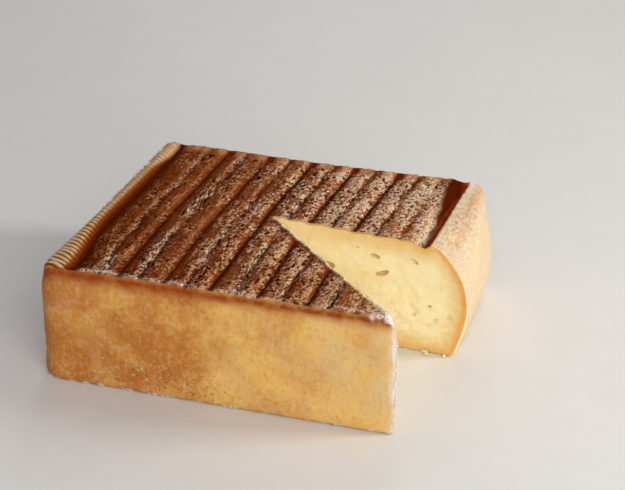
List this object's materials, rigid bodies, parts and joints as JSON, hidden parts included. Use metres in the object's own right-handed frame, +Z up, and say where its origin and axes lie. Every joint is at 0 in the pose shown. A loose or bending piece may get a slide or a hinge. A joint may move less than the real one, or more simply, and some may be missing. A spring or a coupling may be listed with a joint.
{
  "type": "maroilles cheese",
  "caption": "Square washed-rind cheese block with a ridged brown top, swollen ochre sides and a wedge-shaped notch cut from its middle to its right end, baring the pale paste.",
  "frame": {"origin": "centre of the bounding box's underside, on the surface that the cheese stands on", "axes": "+X along the long front face towards the notched end, +Y from the front face to the back, +Z up"},
  "size_m": [0.1336, 0.1147, 0.042],
  "materials": {
    "cheese": "satin washed rind, darker and ridged on top, over a pale moist paste"
  },
  "bodies": {
    "root": {"cheese": "cheese"}
  },
  "joints": []
}
